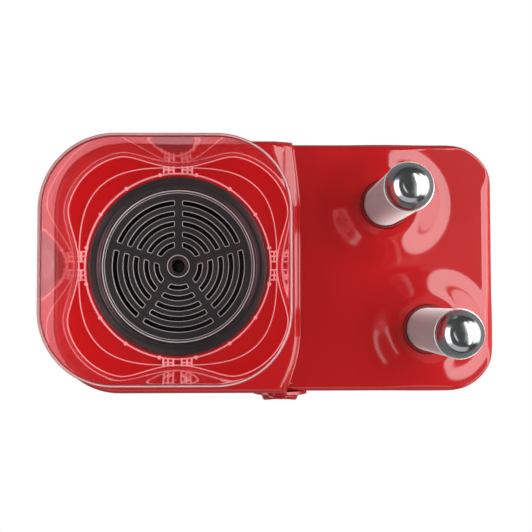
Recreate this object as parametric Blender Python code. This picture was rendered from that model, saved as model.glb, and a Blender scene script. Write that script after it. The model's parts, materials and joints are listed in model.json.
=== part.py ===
"""Countertop hot dog maker: a red moulded base with a steam boiler under a clear
square container on the left, and two upright bun-warming spikes on the right.

Lengths in this file are millimetres and are turned into metres when a mesh is made.
+X is the object's right, -Y its front, +Z up, z = 0 the table."""
import math

import bmesh
import bpy
from mathutils import Matrix, Vector
from mathutils.geometry import delaunay_2d_cdt

# ---------------------------------------------------------------- dimensions
MM = 0.001
Y_OFF = 1.25            # moves the model so that its box is centred on the origin
GAP = 0.3               # clearance between touching pieces

HALF_X = 177.2          # base half width
HALF_Y = 100.0          # base half depth
R_RIGHT = 39.0          # plan corner radius, right side
R_LEFT = 54.0           # plan corner radius, left side
WALL = 2.6              # housing wall
Z_RIM = 5.0             # housing lower rim
Z_PLATFORM = 58.0       # right platform top
Z_PEDESTAL = 75.0       # left pedestal top
R_EDGE = 8.0            # rounding between side wall and top

STEP_X = 17.9           # step between pedestal and platform
STEP_CONVEX = 4.0       # rounding at the top of the step
STEP_FILLET = 4.0       # fillet at the foot of the step

PAN_X = -76.8           # boiler and container axis
PAN_HOLE_R = 62.5
PAN_FLANGE_R = 70.4
PLATE_R = 60.2
PLATE_T = 2.2
PLATE_Z = 72.7
SLOT_ROWS = (49.9, 41.5, 33.5, 25.2, 17.0)
SLOT_W = 3.6
SPOKE_W = 6.6
HUB_R = 9.1
HUB_HOLE_R = 5.2

CONT_BASE = 91.0        # container outside half size at its foot
CONT_RIM = 85.1         # the same at its rim
CONT_R = 55.0           # its corner radius
CONT_Z0 = 75.4
CONT_Z1 = 181.7
CONT_T = 2.3
FLUTE = 9.5             # depth of the scoop in the middle of each wall, at the foot

SPIKES = {"rear": (87.9, 50.0), "front": (121.4, -50.0)}
SPIKE_R = 17.0
SPIKE_T = 1.2
SPIKE_Z0 = 47.7
SPIKE_Z1 = 173.6        # where the dome starts
BOSS_H = 9.0           # height of the mound round a spike
BOSS_RI = 23.0
BOSS_RO = 57.0
COLLAR_HOLE_R = 20.0

KNOB_X = 4.0
KNOB_Z = 38.0
KNOB_R0 = 14.5
KNOB_R1 = 13.0
BEZEL_R = 22.0

GLAND_X = 62.0
GLAND_Z = 22.0

POSTS = ((-152.0, 76.0), (-152.0, -76.0), (152.0, 76.0), (152.0, -82.0))
FEET = ((-140.0, 58.0), (-140.0, -58.0), (150.0, 50.0), (150.0, -50.0))

for _o in list(bpy.data.objects):
    bpy.data.objects.remove(_o, do_unlink=True)


# ---------------------------------------------------------------- materials
def material(name, rgb, rough, metal=0.0, alpha=1.0, transmission=0.0):
    m = bpy.data.materials.new(name)
    m.use_nodes = True
    p = m.node_tree.nodes["Principled BSDF"]
    p.inputs["Base Color"].default_value = (*[c / 255.0 for c in rgb], 1.0)
    p.inputs["Roughness"].default_value = rough
    p.inputs["Metallic"].default_value = metal
    p.inputs["Alpha"].default_value = alpha
    p.inputs["Transmission Weight"].default_value = transmission
    return m


RED = ((150, 12, 14), 0.12)
STEEL = ((170, 170, 172), 0.25, 1.0)
BLACK = ((22, 22, 24), 0.5)


# ---------------------------------------------------------------- mesh helpers
def make(name, verts, faces, mat, origin=(0, 0, 0), parent=None, sharp=35.0):
    """One object from points in mm; origin, in mm, is where its own origin goes."""
    ox, oy, oz = origin
    bm = bmesh.new()
    vs = [bm.verts.new(((x - ox) * MM, (y - oy) * MM, (z - oz) * MM)) for x, y, z in verts]
    for f in faces:
        if len(set(f)) >= 3:
            bm.faces.new([vs[i] for i in f])
    bmesh.ops.recalc_face_normals(bm, faces=bm.faces)
    me = bpy.data.meshes.new(name)
    bm.to_mesh(me)
    bm.free()
    ob = bpy.data.objects.new(name, me)
    bpy.context.scene.collection.objects.link(ob)
    ob.location = Vector((ox * MM, (oy + Y_OFF) * MM, oz * MM))
    if parent is not None:
        ob.parent = parent
        ob.location = Vector(((ox - parent["ox"]) * MM, (oy - parent["oy"]) * MM, (oz - parent["oz"]) * MM))
    me.shade_smooth()
    me.set_sharp_from_angle(angle=math.radians(sharp))
    if mat is not None:
        me.materials.append(material(name, *mat))
    return ob


def pivot(name, origin):
    """An empty on a joint's axis, which carries the pieces that move together."""
    e = bpy.data.objects.new(name, None)
    bpy.context.scene.collection.objects.link(e)
    e.location = (origin[0] * MM, (origin[1] + Y_OFF) * MM, origin[2] * MM)
    e["ox"], e["oy"], e["oz"] = origin
    return e


def lathe(profile, n, centre=(0, 0, 0), closed=False, axis="Z"):
    """Turned shape. profile is (r, z) points; a point with r = 0 is a pole."""
    verts, faces, rows = [], [], []
    for r, z in profile:
        if r < 1e-6:
            rows.append([len(verts)] * n)
            verts.append((0.0, 0.0, z))
        else:
            rows.append(list(range(len(verts), len(verts) + n)))
            for i in range(n):
                a = 2 * math.pi * i / n
                verts.append((r * math.cos(a), r * math.sin(a), z))
    m = len(rows)
    for j in range(m if closed else m - 1):
        a, b = rows[j], rows[(j + 1) % m]
        for i in range(n):
            k = (i + 1) % n
            f = []
            for v in (a[i], a[k], b[k], b[i]):
                if v not in f:
                    f.append(v)
            if len(f) > 2:
                faces.append(f)
    cx, cy, cz = centre
    if axis == "Y":   # the profile's z runs towards -Y
        verts = [(cx + x, cy - z, cz + y) for x, y, z in verts]
    elif axis == "X":
        verts = [(cx + z, cy + x, cz + y) for x, y, z in verts]
    else:
        verts = [(cx + x, cy + y, cz + z) for x, y, z in verts]
    return verts, faces


def turned(name, profile, n, centre, mat, closed=False, axis="Z", parent=None, origin=None):
    v, f = lathe(profile, n, centre, closed, axis)
    return make(name, v, f, mat, origin or centre, parent)


def prism(loops, z0, z1):
    """Plate between z0 and z1 from an outer loop and any number of hole loops."""
    pts, edges = [], []
    for lp in loops:
        s = len(pts)
        pts += [Vector((x, y)) for x, y in lp]
        edges += [(s + i, s + (i + 1) % len(lp)) for i in range(len(lp))]
    out = delaunay_2d_cdt(pts, edges, [], 0, 1e-5)
    vc, tris = out[0], out[2]
    keep = []
    for t in tris:
        c = sum((vc[i] for i in t), Vector((0, 0))) / len(t)
        if inside(c, loops[0]) and not any(inside(c, h) for h in loops[1:]):
            keep.append(tuple(t))
    n = len(vc)
    verts = [(v.x, v.y, z0) for v in vc] + [(v.x, v.y, z1) for v in vc]
    faces = [tuple(reversed(t)) for t in keep] + [tuple(i + n for i in t) for t in keep]
    count = {}
    for t in keep:
        for i in range(len(t)):
            e = (t[i], t[(i + 1) % len(t)])
            count[frozenset(e)] = count.get(frozenset(e), []) + [e]
    for es in count.values():
        if len(es) == 1:
            a, b = es[0]
            faces.append((a, b, b + n, a + n))
    return verts, faces


def inside(p, loop):
    x, y, c = p[0], p[1], False
    for i in range(len(loop)):
        x1, y1 = loop[i][0], loop[i][1]
        x2, y2 = loop[i - 1][0], loop[i - 1][1]
        if (y1 > y) != (y2 > y) and x < (x2 - x1) * (y - y1) / (y2 - y1) + x1:
            c = not c
    return c


def circle(cx, cy, r, n, phase=0.0):
    return [(cx + r * math.cos(2 * math.pi * i / n + phase), cy + r * math.sin(2 * math.pi * i / n + phase)) for i in range(n)]


def boxmesh(x0, x1, y0, y1, z0, z1):
    v = [(x, y, z) for z in (z0, z1) for y in (y0, y1) for x in (x0, x1)]
    return v, [(0, 2, 3, 1), (4, 5, 7, 6), (0, 1, 5, 4), (2, 6, 7, 3), (0, 4, 6, 2), (1, 3, 7, 5)]


def join(*parts):
    verts, faces = [], []
    for v, f in parts:
        s = len(verts)
        verts += v
        faces += [tuple(i + s for i in t) for t in f]
    return verts, faces


def cutter(name, vf):
    ob = make(name, vf[0], vf[1], None)
    ob.hide_render = True
    ob.display_type = "WIRE"
    return ob


def boolean(ob, other, op):
    m = ob.modifiers.new(op.lower(), "BOOLEAN")
    m.operation = op
    m.object = other
    m.solver = "EXACT"
    return m


def bevel(ob, width, segments=2, angle=40.0):
    m = ob.modifiers.new("bevel", "BEVEL")
    m.width = width * MM
    m.segments = segments
    m.limit_method = "ANGLE"
    m.angle_limit = math.radians(angle)
    return m


def tube_mesh(points, r, n=8, steps=5):
    """Round wire through points, on a smooth curve, with flat ends."""
    pts = [Vector(p) for p in points]
    path = []
    for i in range(len(pts) - 1):
        p0 = pts[i - 1] if i else pts[0] * 2 - pts[1]
        p1, p2 = pts[i], pts[i + 1]
        p3 = pts[i + 2] if i + 2 < len(pts) else p2 * 2 - p1
        for s in range(steps):
            t = s / steps
            path.append(0.5 * ((2 * p1) + (p2 - p0) * t + (2 * p0 - 5 * p1 + 4 * p2 - p3) * t * t + (3 * p1 - p0 - 3 * p2 + p3) * t ** 3))
    path.append(pts[-1])
    verts, faces = [], []
    up = None
    for i, p in enumerate(path):
        d = (path[min(i + 1, len(path) - 1)] - path[max(i - 1, 0)]).normalized()
        if up is None:
            up = d.orthogonal().normalized()
        up = (up - d * up.dot(d)).normalized()
        side = d.cross(up)
        for k in range(n):
            a = 2 * math.pi * k / n
            verts.append(tuple(p + (up * math.cos(a) + side * math.sin(a)) * r))
    for i in range(len(path) - 1):
        for k in range(n):
            a, b = i * n + k, i * n + (k + 1) % n
            faces.append((a, b, b + n, a + n))
    faces.append(tuple(range(n)))
    faces.append(tuple(range(len(verts) - n, len(verts))))
    return verts, faces


# ---------------------------------------------------------------- base housing
def step_edge(y):
    """x of the pedestal's upper right edge, which curves back towards front and rear."""
    s = max(0.0, abs(y) - 50.0) / 50.0
    return STEP_X - 12.0 * s * s


def step_spread(y):
    """How wide and how deep the rounded top of the step is."""
    s = max(0.0, abs(y) - 50.0) / 50.0
    return STEP_CONVEX + 12.0 * s * s, STEP_CONVEX + 5.0 * s * s


STEP_T = (0.0, 0.5, 0.87, 1.0)             # along the convex arc
STEP_F = (0.0, 0.13, 0.5, 1.0)             # along the fillet
STEP_WALL = 0.8


def step_x(j, y):
    a, _ = step_spread(y)
    e = step_edge(y)
    if j < len(STEP_T):
        return e - a + a * STEP_T[j]
    return e + STEP_WALL + STEP_FILLET * STEP_F[j - len(STEP_T)]


def boss(x, y):
    h = 0.0
    for cx, cy in SPIKES.values():
        r = math.hypot(x - cx, y - cy)
        if r < BOSS_RI:
            h += BOSS_H
        elif r < BOSS_RO:
            h += BOSS_H * 0.5 * (1 + math.cos(math.pi * ((r - BOSS_RI) / (BOSS_RO - BOSS_RI)) ** 0.75))
    return h


def top_z(x, y):
    """Height of the housing's top before its outer edge is rounded."""
    a, b = step_spread(y)
    e = step_edge(y)
    if x <= e - a:
        z = Z_PEDESTAL
    elif x <= e:
        t = (x - (e - a)) / a
        z = Z_PEDESTAL - b * (1 - math.sqrt(max(0.0, 1 - t * t)))
    elif x < e + STEP_WALL:
        z0, z1 = Z_PEDESTAL - b, Z_PLATFORM + STEP_FILLET
        z = z0 + (z1 - z0) * (x - e) / STEP_WALL
    elif x < e + STEP_WALL + STEP_FILLET:
        t = 1 - (x - e - STEP_WALL) / STEP_FILLET
        z = Z_PLATFORM + STEP_FILLET * (1 - math.sqrt(max(0.0, 1 - t * t)))
    else:
        z = Z_PLATFORM
    return z + boss(x, y)


def perimeter(corner=7):
    """Outline points with their outward normals, counter-clockwise from the right side."""
    pts = []
    hx, hy, r, l = HALF_X, HALF_Y, R_RIGHT, R_LEFT
    for y in (-40.0, 0.0, 40.0):
        pts.append((hx, y, 1.0, 0.0))

    def arc(cx, cy, rad, a0):
        for i in range(corner + 1):
            a = math.radians(a0 + 90.0 * i / corner)
            pts.append((cx + rad * math.cos(a), cy + rad * math.sin(a), math.cos(a), math.sin(a)))

    yb = hy - R_EDGE
    xs = [110.0, 80.0, 50.0] + [step_x(j, yb) for j in range(7, -1, -1)] + [-40.0, -90.0]
    arc(hx - r, hy - r, r, 0)
    pts += [(x, hy, 0.0, 1.0) for x in xs]
    arc(-hx + l, hy - l, l, 90)
    pts.append((-hx, 0.0, -1.0, 0.0))
    arc(-hx + l, -hy + l, l, 180)
    pts += [(x, -hy, 0.0, -1.0) for x in reversed(xs)]
    arc(hx - r, -hy + r, r, 270)
    return pts


def housing_surface():
    per = perimeter()
    n = len(per)
    verts, faces = [], []
    rings = [(0.0, None, Z_RIM)]
    for th in (0.0, 30.0, 60.0, 90.0):
        t = math.radians(th)
        rings.append((R_EDGE * (1 - math.cos(t)), R_EDGE * (1 - math.sin(t)), None))
    for inset, drop, z in rings:
        for px, py, nx, ny in per:
            x, y = px - inset * nx, py - inset * ny
            verts.append((x, y, z if drop is None else top_z(px - R_EDGE * nx, py - R_EDGE * ny) - drop))
    for j in range(len(rings) - 1):
        for i in range(n):
            a, b = j * n + i, j * n + (i + 1) % n
            faces.append((a, b, b + n, a + n))
    last = (len(rings) - 1) * n
    edge = [verts[last + i] for i in range(n)]
    loop = [(p[0], p[1]) for p in edge]
    pts = [Vector(p) for p in loop]
    edges = [(i, (i + 1) % n) for i in range(n)]

    def add_loop(lp, closed=True):
        s = len(pts)
        pts.extend(Vector(p) for p in lp)
        m = len(lp)
        edges.extend((s + i, s + (i + 1) % m) for i in range(m if closed else m - 1))

    holes = [circle(PAN_X, 0, PAN_HOLE_R, 36)]
    for cx, cy in SPIKES.values():
        holes.append(circle(cx, cy, COLLAR_HOLE_R, 20))
    for h in holes:
        add_loop(h)
    inner = [(p[0] - (R_EDGE + 2.0) * p[2], p[1] - (R_EDGE + 2.0) * p[3]) for p in per]
    for cx, cy in SPIKES.values():
        for k, r in enumerate((BOSS_RI, 26.5, 31.5, 38.0, 46.0, BOSS_RO)):
            pts.extend(Vector(p) for p in circle(cx, cy, r, 20, 0.157 * (k % 2)) if inside(p, inner))
    yb = HALF_Y - R_EDGE
    for j in range(8):
        lookup = [i for i, p in enumerate(loop) if abs(p[0] - step_x(j, yb)) < 1e-4 and abs(abs(p[1]) - yb) < 1e-3]
        ids = {1 if loop[i][1] > 0 else -1: i for i in lookup}
        mids = [Vector((step_x(j, y), y)) for y in (-81.0, -69.0, -56.0, 0.0, 56.0, 69.0, 81.0)]
        s = len(pts)
        pts.extend(mids)
        chain = [ids[-1]] + list(range(s, s + len(mids))) + [ids[1]]
        edges.extend(zip(chain[:-1], chain[1:]))
    out = delaunay_2d_cdt(pts, edges, [], 0, 1e-5)
    vc, tris, src = out[0], out[2], out[3]
    index = {}
    for i, v in enumerate(vc):
        for o in src[i]:
            if o < n:
                index[i] = last + o
    for i, v in enumerate(vc):
        if i not in index:
            index[i] = len(verts)
            verts.append((v.x, v.y, top_z(v.x, v.y)))
    for t in tris:
        c = sum((vc[i] for i in t), Vector((0, 0))) / len(t)
        if inside(c, loop) and not any(inside(c, h) for h in holes):
            faces.append(tuple(index[i] for i in t))
    return verts, faces


v, f = housing_surface()
base = make("base_housing", v, f, RED)
sol = base.modifiers.new("wall", "SOLIDIFY")
sol.thickness = WALL * MM
sol.offset = -1.0
sol.use_even_offset = False
sol.use_rim = True

under = {True: Z_PEDESTAL - 1.3, False: Z_PLATFORM - 1.3}
posts = []
for x, y in POSTS:
    posts.append(lathe([(0, 8.1), (4.0, 8.1), (4.0, under[x < 0]), (0, under[x < 0])], 12, (x, y, 0)))
SPIKE_SCREWS = {}
for key, (cx, cy) in SPIKES.items():
    side = -1 if key == "rear" else 1
    spots = [(cx - 27.5, cy), (cx + 27.5, cy)]
    SPIKE_SCREWS[key] = spots
    for x, y in spots:
        posts.append(lathe([(0, SPIKE_Z0), (3.2, SPIKE_Z0), (3.2, top_z(x, y) - 1.4), (0, top_z(x, y) - 1.4)], 10, (x, y, 0)))
boolean(base, cutter("post_shapes", join(*posts)), "UNION")
holes = []
for x, y in POSTS:
    holes.append(lathe([(0, 7.0), (1.5, 7.0), (1.5, 22.0), (0, 22.0)], 8, (x, y, 0)))
for key in SPIKES:
    for x, y in SPIKE_SCREWS[key]:
        holes.append(lathe([(0, 46.0), (1.3, 46.0), (1.3, 55.0), (0, 55.0)], 8, (x, y, 0)))
holes.append(lathe([(0, 90), (6.0, 90), (6.0, 110), (0, 110)], 16, (KNOB_X, 0, KNOB_Z), axis="Y"))
holes.append(lathe([(0, -110), (6.2, -110), (6.2, -90), (0, -90)], 16, (GLAND_X, 0, GLAND_Z), axis="Y"))
boolean(base, cutter("hole_shapes", join(*holes)), "DIFFERENCE")

# ---------------------------------------------------------------- bottom cover, feet, screws
per = perimeter(4)
ins = WALL + 0.5
cover_loop = [(p[0] - ins * p[2], p[1] - ins * p[3]) for p in per]
cover_loop = [p for i, p in enumerate(cover_loop) if math.dist(p, cover_loop[i - 1]) > 6.0]
loops = [cover_loop] + [circle(x, y, 1.8, 8) for x, y in POSTS] + [circle(x, y, 3.0, 10) for x, y in FEET]
for i in range(7):
    x = 30.0 + 9.0 * i
    loops.append([(x - 1.8, -34.0), (x + 1.8, -34.0), (x + 1.8, 8.0), (x - 1.8, 8.0)])
v, f = prism(loops, 5.6, 7.8)
make("bottom_cover", v, f, BLACK)
NAMES = ("rear_left", "front_left", "rear_right", "front_right")
for nm, (x, y) in zip(NAMES, FEET):
    turned("foot_" + nm, [(0, 0), (8.2, 0), (9.0, 0.8), (9.6, 5.3), (2.6, 5.3), (2.6, 9.0), (0, 9.4)], 16, (x, y, 0), ((28, 28, 30), 0.8))
for nm, (x, y) in zip(NAMES, POSTS):
    turned("cover_screw_" + nm, [(0, 3.4), (1.2, 3.4), (2.9, 3.9), (3.1, 5.3), (1.2, 5.3), (1.2, 19.0), (0, 20.0)], 10, (x, y, 0), STEEL)

# ---------------------------------------------------------------- boiler
PC = (PAN_X, 0, 0)
turned("boiler_pan", [
    (0, 52.2), (55.0, 52.2), (57.2, 54.4), (57.2, 72.3), (60.9, 72.3), (60.9, 75.4), (61.6, 75.9),
    (69.4, 78.0), (70.4, 77.4), (70.4, 75.4), (68.2, 75.4), (68.2, 76.5), (61.9, 76.5 - 0.6),
    (61.9, 70.6), (59.2, 70.2), (59.2, 51.6), (57.4, 50.0), (4.0, 50.0), (4.0, 43.2), (0, 43.2)], 40, PC, BLACK)
turned("pan_gasket", [(63.2, 75.3), (67.6, 75.3), (67.6, 75.9), (63.2, 75.55)], 32, PC, ((60, 58, 58), 0.7), closed=True)

plate_pivot = pivot("steam_plate_pivot", (PAN_X, 0, PLATE_Z))


def slot_loop(r, a0, a1, width, seg):
    """Arc slot between two spokes; a0, a1 are the spokes' centre angles."""
    ro, ri, hw = r + width / 2, r - width / 2, SPOKE_W / 2
    out = []
    for rad, flip in ((ri, False), (ro, True)):
        d = math.asin(hw / rad)
        row = [a0 + d + (a1 - a0 - 2 * d) * i / seg for i in range(seg + 1)]
        pts = [(PAN_X + rad * math.cos(a), rad * math.sin(a)) for a in row]
        out += list(reversed(pts)) if flip else pts
    return out


loops = [circle(PAN_X, 0, PLATE_R, 44), circle(PAN_X, 0, HUB_HOLE_R, 14)]
for s in range(5):
    a0, a1 = math.radians(90 + 72 * s), math.radians(90 + 72 * (s + 1))
    for k, r in enumerate(SLOT_ROWS):
        loops.append(slot_loop(r, a0, a1, SLOT_W, (5, 4, 4, 3, 2)[k]))
v, f = prism(loops, PLATE_Z, PLATE_Z + PLATE_T)
plate = make("steam_plate", v, f, ((42, 44, 46), 0.45), (PAN_X, 0, PLATE_Z), plate_pivot)
hub = cutter("hub_shape", lathe([(HUB_HOLE_R + 0.9, PLATE_Z + 1.0), (HUB_R, PLATE_Z + 1.0), (HUB_R - 0.5, PLATE_Z + PLATE_T + 1.2), (HUB_HOLE_R + 1.4, PLATE_Z + PLATE_T + 1.2)], 20, PC, closed=True))
boolean(plate, hub, "UNION")

arcpts = [(PAN_X + 42 * math.cos(math.radians(a)), 42 * math.sin(math.radians(a)), 46.2) for a in range(20, 341, 32)]
v, f = tube_mesh(arcpts, 3.3, 8, 2)
make("boiler_heater", v, f, STEEL, (PAN_X, 0, 46.2))
v, f = prism([[(PAN_X - 52, -8), (PAN_X + 20, -8), (PAN_X + 20, 8), (PAN_X - 52, 8)], circle(PAN_X, 0, 1.9, 10)], 40.6, 42.6)
make("heater_clamp", v, f, STEEL)
turned("clamp_nut", [(1.6, 38.0), (4.4, 38.0), (4.4, 40.3), (1.6, 40.3)], 6, PC, STEEL, closed=True)
turned("thermostat", [(0, 33.4), (3.0, 33.4), (3.0, 36.0), (9.0, 36.0), (9.0, 39.4), (8.0, 40.3), (0, 40.3)], 20, (PAN_X - 28, 0, 0), ((200, 190, 170), 0.5))
turned("thermal_fuse", [(0, 0), (1.0, 0), (1.0, 3), (2.4, 3.4), (2.4, 12.6), (1.0, 13), (1.0, 16), (0, 16)], 10, (PAN_X + 6, 14, 47.0), ((190, 170, 90), 0.4), axis="X")

# ---------------------------------------------------------------- bun-warming spikes
for key, (cx, cy) in SPIKES.items():
    c = (cx, cy, 0)
    prof = [(14.9, SPIKE_Z0), (22.5, SPIKE_Z0), (22.5, SPIKE_Z0 + 1.4), (SPIKE_R, SPIKE_Z0 + 1.6), (SPIKE_R, SPIKE_Z1)]
    for d in (18, 36, 54, 72):
        t = math.radians(d)
        prof.append((SPIKE_R * math.cos(t), SPIKE_Z1 + SPIKE_R * math.sin(t)))
    prof.append((0, SPIKE_Z1 + SPIKE_R))
    ri = SPIKE_R - SPIKE_T
    prof.append((0, SPIKE_Z1 + ri))
    for d in (66, 33):
        t = math.radians(d)
        prof.append((ri * math.cos(t), SPIKE_Z1 + ri * math.sin(t)))
    prof += [(ri, SPIKE_Z1), (ri, SPIKE_Z0 + 1.0)]
    # the two poles are separate turned skins joined at the foot
    n = 22
    v, f = lathe(prof[:10], n, c)
    v2, f2 = lathe(prof[10:], n, c)
    s = len(v)
    v = v + v2
    f = f + [tuple(i + s for i in t) for t in f2]
    first, lastrow = list(range(0, n)), list(range(len(v) - n, len(v)))
    for i in range(n):
        k = (i + 1) % n
        f.append((first[i], first[k], lastrow[k], lastrow[i]))
    make("spike_" + key, v, f, ((200, 200, 202), 0.15, 1.0), (cx, cy, SPIKE_Z0))
    turned("spike_collar_" + key, [(17.4, 52.0), (19.6, 52.0), (19.6, 67.4), (19.0, 68.2), (17.6, 68.2)], 22, c, ((40, 8, 8), 0.4), closed=True)
    v, f = prism([circle(cx, cy, 31.0, 22), circle(cx, cy, 8.5, 14)] + [circle(x, y, 1.6, 8) for x, y in SPIKE_SCREWS[key]], 45.2, 47.4)
    make("spike_bracket_" + key, v, f, STEEL)
    turned("spike_heater_" + key, [(0, 47.7), (14.4, 47.7), (14.4, 50.2), (5.2, 50.2), (5.2, 150.0), (3.6, 153.0), (0, 153.6)], 12, c, STEEL)
for key, (cx, cy) in SPIKES.items():
    for k, (x, y) in enumerate(SPIKE_SCREWS[key]):
        turned(f"bracket_screw_{key}_{k + 1}", [(0, 42.6), (2.6, 43.0), (2.8, 44.9), (1.0, 44.9), (1.0, 53.0), (0, 54.0)], 8, (x, y, 0), STEEL)

# ---------------------------------------------------------------- control knob and switch
KC = (KNOB_X, 0, KNOB_Z)
turned("knob_bezel", [(6.0, 100.3), (BEZEL_R, 100.3), (BEZEL_R, 102.4), (BEZEL_R - 0.8, 103.2), (16.0, 103.2), (15.6, 102.6), (6.0, 102.6)], 30, KC, RED, closed=True, axis="Y")
knob_pivot = pivot("knob_pivot", (KNOB_X, -103.6, KNOB_Z))
knob = turned("control_knob", [(0, 104.0), (KNOB_R0, 104.0), (KNOB_R0, 105.0), (KNOB_R1, 108.5), (0, 108.5)], 30, KC, RED, axis="Y", parent=knob_pivot, origin=(KNOB_X, -103.6, KNOB_Z))
boolean(knob, cutter("knob_scoop", lathe([(0, -20), (52.0, -20), (52.0, 20), (0, 20)], 72, (KNOB_X, -108.5 - 52.0 + 1.7, KNOB_Z))), "DIFFERENCE")
boolean(knob, cutter("knob_bore", lathe([(0, 103.0), (3.3, 103.0), (3.3, 106.2), (0, 106.2)], 16, KC, axis="Y")), "DIFFERENCE")
turned("knob_shaft", [(0, 84.0), (3.0, 84.0), (3.0, 105.6), (0, 105.9)], 16, KC, STEEL, axis="Y", parent=knob_pivot, origin=(KNOB_X, -103.6, KNOB_Z))
turned("shaft_bushing", [(3.4, 96.0), (5.7, 96.0), (5.7, 102.2), (3.4, 102.2)], 16, KC, STEEL, closed=True, axis="Y")
sw = make("rotary_switch", *boxmesh(KNOB_X - 14, KNOB_X + 14, -95.6, -72.0, KNOB_Z - 14, KNOB_Z + 14), ((225, 220, 205), 0.5))
boolean(sw, cutter("switch_bore", lathe([(0, 82.0), (3.4, 82.0), (3.4, 99.0), (0, 99.0)], 16, KC, axis="Y")), "DIFFERENCE")

# ---------------------------------------------------------------- supply
turned("cord_gland", [(3.4, -94.0), (5.9, -94.0), (5.9, -100.3), (8.4, -100.3), (8.4, -102.6), (6.6, -103.4), (5.8, -106.0), (3.4, -106.0)], 16, (GLAND_X, 0, GLAND_Z), BLACK, closed=True, axis="Y")
tb = make("terminal_block", *boxmesh(GLAND_X - 20, GLAND_X + 20, 51.4, 67.4, 8.1, 19.5), ((230, 228, 220), 0.5))
bevel(tb, 1.0, 1)
WIRES = {
    "wire_switch": (((52, 49.5, 14), (40, 20, 12), (20, -40, 16), (8, -58, 34), (6, -66, 38), (6, -71.2, 38)), (150, 90, 40)),
    "wire_boiler": (((46, 49.5, 14), (20, 36, 13), (-30, 22, 14), (-80, 12, 16), (PAN_X - 27, 2, 22), (PAN_X - 28, 0, 28), (PAN_X - 28, 0, 32.9)), (40, 60, 140)),
    "wire_spike_rear": (((72, 49.5, 14), (82, 40, 18), (87.9, 48, 30), (87.9, 50.0, 40), (87.9, 50.0, 47.0)), (150, 30, 30)),
    "wire_spike_front": (((66, 49.5, 14), (84, 20, 12), (108, -20, 14), (120, -47, 28), (121.4, -50.0, 40), (121.4, -50.0, 47.0)), (150, 30, 30)),
}
for nm, (pts, col) in WIRES.items():
    v, f = tube_mesh(pts, 1.5, 6, 3)
    make(nm, v, f, (col, 0.5), pts[0])

# ---------------------------------------------------------------- clear container
lift_pivot = pivot("container_pivot", (PAN_X, 0, CONT_Z0))
SEG = 8


def container_loop(half, flute, inset, seg=SEG, side=6):
    """Rounded square about the boiler axis, with each wall scooped in by flute at its middle."""
    r = CONT_R * half / CONT_BASE
    c = half - r
    pts = []
    for q in range(4):
        a0 = q * 90.0 - 45.0
        ca, sa = math.cos(math.radians(q * 90)), math.sin(math.radians(q * 90))
        row = []
        for i in range(side + 1):                     # straight side, along +Y at +X
            row.append((half, -c + 2 * c * i / side))
        for i in range(1, seg):
            a = math.radians(90.0 * i / seg)
            row.append((c + r * math.cos(a), c + r * math.sin(a)))
        for x, y in row:
            w = 0.0
            if abs(y) < 50 and x > abs(y):
                w = math.cos(math.pi * y / 100.0) ** 2
            elif abs(x) < 50 and y > abs(x):
                w = math.cos(math.pi * x / 100.0) ** 2
                n = (0.0, 1.0)
            if x >= abs(y):
                x2, y2 = x - flute * w, y
            else:
                x2, y2 = x, y - flute * w
            pts.append((x2 * ca - y2 * sa, x2 * sa + y2 * ca))
    # inset along the loop's own normals
    out = []
    m = len(pts)
    for i in range(m):
        ax, ay = pts[i - 1]
        bx, by = pts[(i + 1) % m]
        nx, ny = (by - ay), -(bx - ax)
        k = math.hypot(nx, ny)
        out.append((PAN_X + pts[i][0] - inset * nx / k, pts[i][1] - inset * ny / k))
    return out


def container_ring(h, inset):
    return container_loop(CONT_BASE + (CONT_RIM - CONT_BASE) * h, FLUTE * (1 - h) ** 1.4, inset)


levels = (0.0, 0.2, 0.45, 1.0)
rows = [(h, 0.0) for h in levels] + [(h, CONT_T) for h in reversed(levels)]
verts, faces = [], []
for h, ins in rows:
    z = CONT_Z0 + (CONT_Z1 - CONT_Z0) * h
    verts += [(x, y, z) for x, y in container_ring(h, ins)]
m = len(container_ring(0, 0))
for j in range(len(rows)):
    for i in range(m):
        a, b = j * m + i, j * m + (i + 1) % m
        k = (j + 1) % len(rows)
        faces.append((a, b, k * m + (i + 1) % m, k * m + i))
CLEAR = ((235, 236, 238), 0.05, 0.0, 0.35)
make("container_wall", verts, faces, CLEAR, (PAN_X, 0, CONT_Z0), lift_pivot)

tray_loop = container_ring(0.0, CONT_T + 0.75)
v, f = prism([tray_loop, circle(PAN_X, 0, 72.5, 36)], CONT_Z0, CONT_Z0 + 2.0)
tray = make("container_tray", v, f, CLEAR, (PAN_X, 0, CONT_Z0), lift_pivot)
extra = [lathe([(71.5, 75.9), (73.6, 75.9), (73.6, 80.1), (71.5, 80.1)], 40, PC, closed=True)]
boolean(tray, cutter("tray_lip", extra[0]), "UNION")
clips = []
for q in range(4):
    ca, sa = round(math.cos(math.radians(q * 90))), round(math.sin(math.radians(q * 90)))
    for lo, hi in ((-12.0, -2.6), (2.6, 12.0)):
        v, f = boxmesh(72.1, 77.6, lo, hi, 76.4, 83.5)
        clips.append(([(PAN_X + x * ca - y * sa, x * sa + y * ca, z) for x, y, z in v], f))
boolean(tray, cutter("tray_clips", join(*clips)), "UNION")
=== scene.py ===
"""Looks for the hot dog maker: fine surfaces, materials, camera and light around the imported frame."""
import json
import math
import bmesh
import bpy
from mathutils import Matrix, Vector
from mathutils.geometry import delaunay_2d_cdt


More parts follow.
